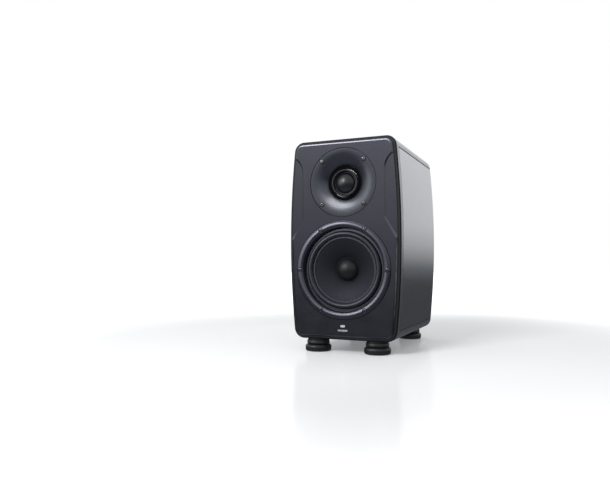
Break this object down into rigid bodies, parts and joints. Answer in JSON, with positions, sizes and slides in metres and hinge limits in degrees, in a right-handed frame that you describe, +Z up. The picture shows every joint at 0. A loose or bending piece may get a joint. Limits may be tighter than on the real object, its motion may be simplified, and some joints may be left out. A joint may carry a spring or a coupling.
{
  "type": "bookshelf speaker",
  "caption": "Compact active bookshelf speaker: bowed cabinet, cone woofer, dome tweeter in a waveguide, rear port and amplifier panel, isolation feet.",
  "frame": {"origin": "on the floor under the centre of the bounding box", "axes": "+X to the right of a listener facing the front, +Y from the front baffle to the rear panel, +Z up"},
  "size_m": [0.1686, 0.2526, 0.3085],
  "materials": {
    "cabinet_paint": "satin",
    "side_panel": "gloss",
    "rim_black": "satin",
    "baffle": "satin",
    "badge": "satin",
    "light_lens": "gloss",
    "ring": "semi gloss",
    "screw_black": "black oxide",
    "rubber": "matte",
    "cone": "matte",
    "dust_cap": "satin",
    "copper": "satin",
    "spider_cloth": "matte",
    "cast_frame": "satin",
    "gasket": "matte",
    "plated_steel": "satin",
    "ferrite": "matte",
    "terminal": "satin",
    "waveguide": "satin",
    "retaining_ring": "satin",
    "dome": "satin",
    "port_plastic": "satin",
    "amp_plate": "fine texture",
    "socket_plastic": "matte",
    "pin_metal": "bright",
    "rocker_plastic": "gloss",
    "knob_plastic": "satin",
    "slider_plastic": "satin",
    "board": "solder mask",
    "capacitor": "sleeved",
    "heatsink": "anodised",
    "lead_red": "satin",
    "lead_black": "satin",
    "foam": "open cell",
    "foot_plastic": "satin",
    "foot_rubber": "satin"
  },
  "bodies": {
    "speaker": {"amp_plate": "amp_plate", "amp_plate_gasket": "gasket", "amp_plate_screws": "screw_black", "board_standoffs": "pin_metal", "cabinet_shell": "cabinet_paint", "calibrate_switch": "socket_plastic", "combo_socket": "socket_plastic", "filter_capacitors": "capacitor", "foam_lining": "foam", "foot_bolts": "screw_black", "foot_cups": "foot_plastic", "foot_pads": "foot_rubber", "front_badge": "badge", "front_baffle": "baffle", "front_rim": "rim_black", "heatsink": "heatsink", "level_pot": "pin_metal", "main_board": "board", "port_tube": "port_plastic", "power_inlet": "socket_plastic", "power_inlet_pins": "pin_metal", "power_switch_housing": "socket_plastic", "power_transformer": "ferrite", "side_panel_left": "side_panel", "side_panel_right": "side_panel", "slide_switch_housings": "socket_plastic", "status_light": "light_lens", "tweeter_front_plate": "plated_steel", "tweeter_leads": "lead_black", "tweeter_magnet": "ferrite", "tweeter_retaining_ring": "retaining_ring", "tweeter_screws": "screw_black", "tweeter_surround": "rubber", "tweeter_throat_pad": "gasket", "tweeter_waveguide": "waveguide", "tweeter_yoke": "plated_steel", "usb_socket": "pin_metal", "woofer_basket": "cast_frame", "woofer_gasket": "gasket", "woofer_leads": "lead_red", "woofer_magnet": "ferrite", "woofer_screws": "screw_black", "woofer_spider": "spider_cloth", "woofer_surround": "rubber", "woofer_terminals": "terminal", "woofer_top_plate": "plated_steel", "woofer_trim_ring": "ring", "woofer_yoke": "plated_steel"},
    "woofer_moving": {"woofer_cone": "cone", "woofer_dust_cap": "dust_cap", "woofer_voice_coil": "copper"},
    "tweeter_moving": {"tweeter_dome": "dome", "tweeter_voice_coil": "copper"},
    "power_rocker": {"power_rocker": "rocker_plastic"},
    "level_control": {"level_knob": "knob_plastic", "level_shaft": "pin_metal"},
    "calibrate_button": {"calibrate_button": "knob_plastic"},
    "bass_slider": {"bass_slider": "slider_plastic"},
    "desk_slider": {"desk_slider": "slider_plastic"},
    "treble_slider": {"treble_slider": "slider_plastic"}
  },
  "joints": [
    {"name": "woofer_excursion", "type": "slide", "parent": "speaker", "child": "woofer_moving", "axis": [0, -1, 0], "range_m": [-0.004, 0.004], "stiffness_N_per_m": 1200, "deforming": ["woofer_surround", "woofer_spider"]},
    {"name": "tweeter_excursion", "type": "slide", "parent": "speaker", "child": "tweeter_moving", "axis": [0, -1, 0], "range_m": [-0.0004, 0.0004], "stiffness_N_per_m": 2500, "deforming": ["tweeter_surround"]},
    {"name": "power_switch", "type": "hinge", "parent": "speaker", "child": "power_rocker", "pos_m": [0.008, 0.1063, 0.055], "axis": [1, 0, 0], "range_deg": [-18, 0]},
    {"name": "level_turn", "type": "hinge", "parent": "speaker", "child": "level_control", "pos_m": [0.032, 0.1183, 0.141], "axis": [0, 1, 0], "range_deg": [-140, 140]},
    {"name": "calibrate_press", "type": "slide", "parent": "speaker", "child": "calibrate_button", "axis": [0, -1, 0], "range_m": [0, 0.001], "stiffness_N_per_m": 700, "springref_m": -0.0005},
    {"name": "bass_trim", "type": "slide", "parent": "speaker", "child": "bass_slider", "axis": [1, 0, 0], "range_m": [-0.002, 0.002]},
    {"name": "desk_trim", "type": "slide", "parent": "speaker", "child": "desk_slider", "axis": [1, 0, 0], "range_m": [-0.002, 0.002]},
    {"name": "treble_trim", "type": "slide", "parent": "speaker", "child": "treble_slider", "axis": [1, 0, 0], "range_m": [-0.002, 0.002]}
  ]
}
